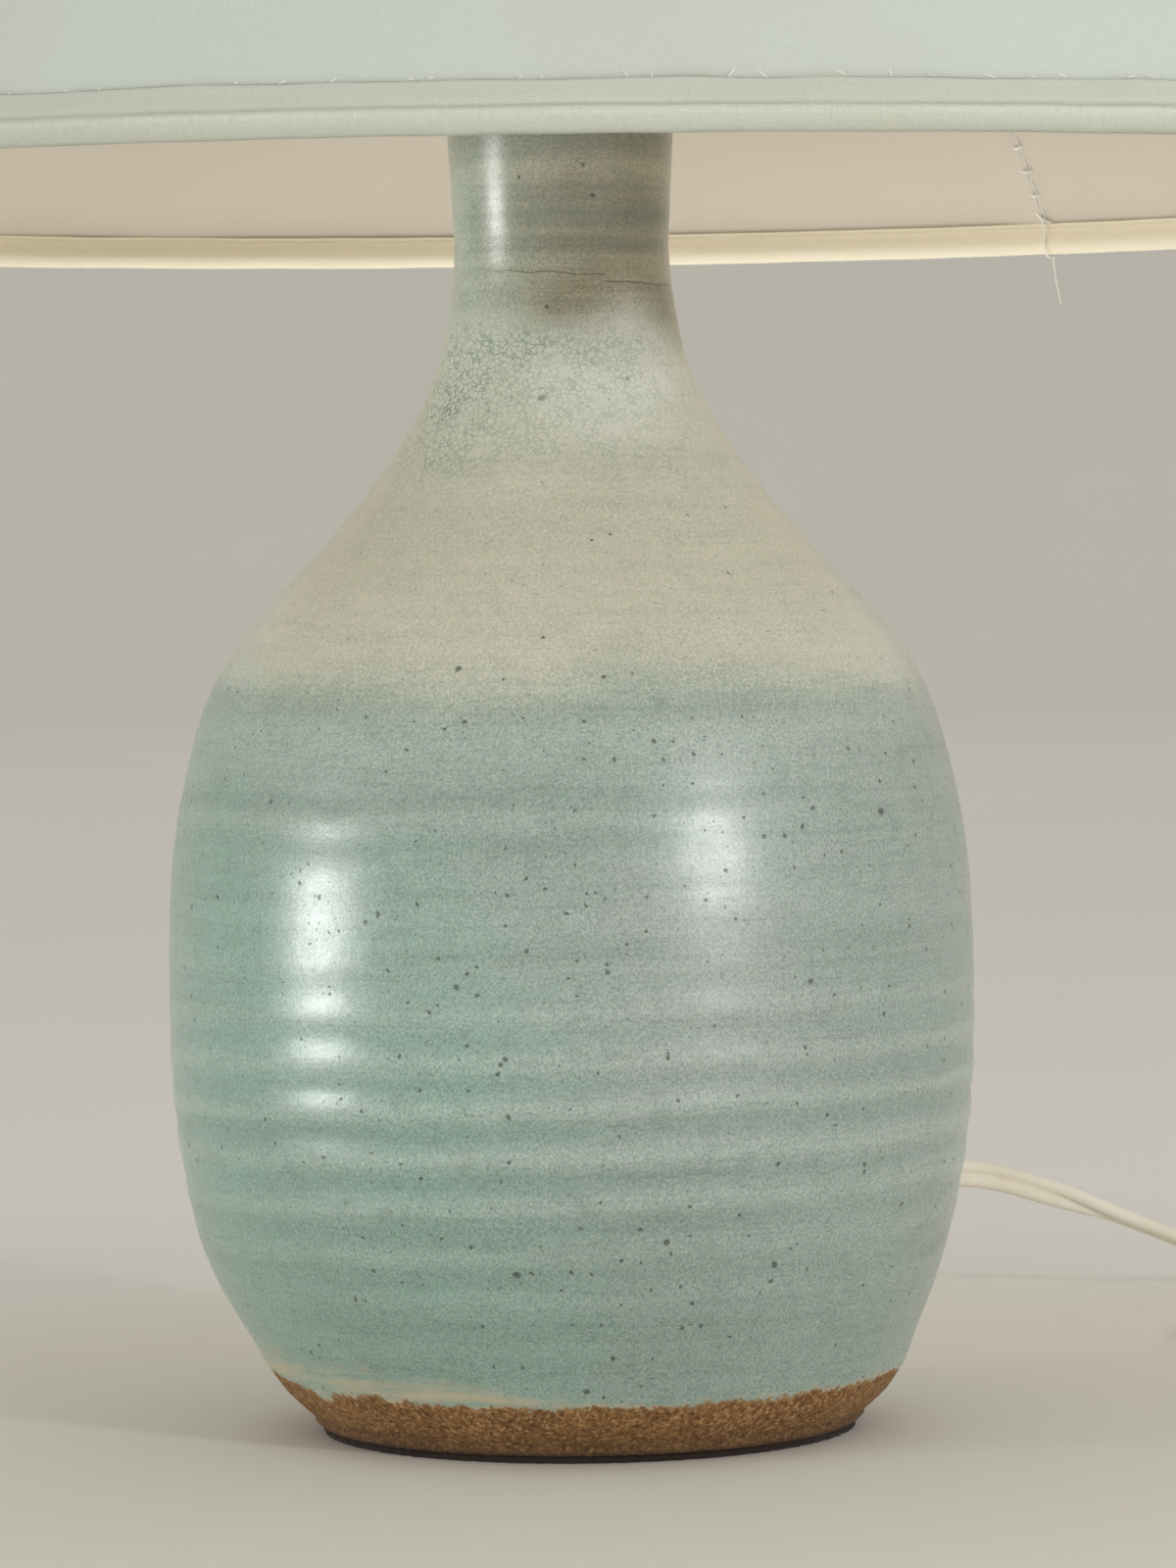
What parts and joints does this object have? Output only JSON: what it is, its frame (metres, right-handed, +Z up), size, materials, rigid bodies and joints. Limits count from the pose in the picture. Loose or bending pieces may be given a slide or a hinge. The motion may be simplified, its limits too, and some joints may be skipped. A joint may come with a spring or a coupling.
{
  "type": "ceramic table lamp",
  "caption": "Table lamp: turned stoneware body with narrow neck, wide cone shade on a harp, screw lampholder with turn switch, and a flat cord with plug.",
  "frame": {"origin": "centre of the foot, on the table", "axes": "+Z up the lamp's axis, -Y towards the viewer of the picture, +X to that viewer's right"},
  "size_m": [0.4998, 0.5006, 0.4867],
  "materials": {
    "glazed_stoneware": "pale grey-green celadon glaze, satin gloss",
    "felt": "brown wool felt",
    "ivory_pvc": "ivory, soft sheen",
    "plated_steel": "zinc plated",
    "rubber": "matte grey",
    "lacquered_brass": "lacquered, satin",
    "fibre_sleeve": "brown fibre",
    "aluminium": "rolled thread, bright",
    "black_phenolic": "moulded, glossy",
    "opal_glass": "white coated glass",
    "black_glass": "black vitrite",
    "shade_fabric": "cream woven fabric on a stiff lining",
    "shade_tape": "cream woven tape"
  },
  "bodies": {
    "base": {"felt_pad": "felt", "ceramic_body": "glazed_stoneware", "cord_bush": "ivory_pvc", "lower_nut": "plated_steel", "lower_washer": "plated_steel", "neck_stopper": "rubber", "nipple": "plated_steel", "neck_cap": "lacquered_brass", "lock_nut": "lacquered_brass", "harp_saddle": "lacquered_brass", "socket_cap": "lacquered_brass", "socket_shell": "lacquered_brass", "socket_sleeve": "fibre_sleeve", "screw_shell": "aluminium", "socket_core": "black_phenolic", "centre_contact": "lacquered_brass", "terminal_screw_left": "lacquered_brass", "terminal_screw_right": "lacquered_brass", "inner_flex": "ivory_pvc", "cord_lead": "ivory_pvc", "cord_coil": "ivory_pvc", "cord_tail": "ivory_pvc", "plug_body": "ivory_pvc", "plug_blade_left": "lacquered_brass", "plug_blade_right": "lacquered_brass"},
    "harp": {"harp": "lacquered_brass", "harp_stud": "lacquered_brass"},
    "ferrule_left": {"ferrule_left": "lacquered_brass"},
    "ferrule_right": {"ferrule_right": "lacquered_brass"},
    "shade": {"shade_cone": "shade_fabric", "bottom_ring": "plated_steel", "bottom_trim": "shade_tape", "top_trim": "shade_tape", "spider": "plated_steel"},
    "finial_lift": {"finial_base": "lacquered_brass"},
    "finial": {"finial_knob": "lacquered_brass"},
    "bulb_lift": {"bulb_contact": "lacquered_brass"},
    "bulb": {"bulb_glass": "opal_glass", "bulb_base": "aluminium", "bulb_insulator": "black_glass"},
    "switch_key": {"switch_key": "black_phenolic"}
  },
  "joints": [
    {"name": "harp_lift", "type": "slide", "parent": "base", "child": "harp", "axis": [0, 0, 1], "range_m": [0, 0.012]},
    {"name": "ferrule_left_slide", "type": "slide", "parent": "harp", "child": "ferrule_left", "axis": [0, 0, 1], "range_m": [0, 0.009]},
    {"name": "ferrule_right_slide", "type": "slide", "parent": "harp", "child": "ferrule_right", "axis": [0, 0, 1], "range_m": [0, 0.009]},
    {"name": "shade_turn", "type": "hinge", "parent": "harp", "child": "shade", "pos_m": [0, 0, 0.4582], "axis": [0, 0, 1], "continuous": true},
    {"name": "finial_rise", "type": "slide", "parent": "harp", "child": "finial_lift", "axis": [0, 0, 1], "range_m": [0, 0.0099]},
    {"name": "finial_turn", "type": "hinge", "parent": "finial_lift", "child": "finial", "pos_m": [0, 0, 0.4599], "axis": [0, 0, 1], "range_deg": [0, 3780]},
    {"name": "bulb_rise", "type": "slide", "parent": "base", "child": "bulb_lift", "axis": [0, 0, 1], "range_m": [0, 0.02]},
    {"name": "bulb_turn", "type": "hinge", "parent": "bulb_lift", "child": "bulb", "pos_m": [0, 0, 0.3165], "axis": [0, 0, 1], "range_deg": [0, 1980]},
    {"name": "switch_turn", "type": "hinge", "parent": "base", "child": "switch_key", "pos_m": [0, -0.02, 0.3042], "axis": [0, -1, 0], "continuous": true}
  ],
  "couplings": [
    {"joint": "finial_rise", "follows": "finial_turn", "m_per_rad": 0.0001497},
    {"joint": "bulb_rise", "follows": "bulb_turn", "m_per_rad": 0.0005775}
  ]
}
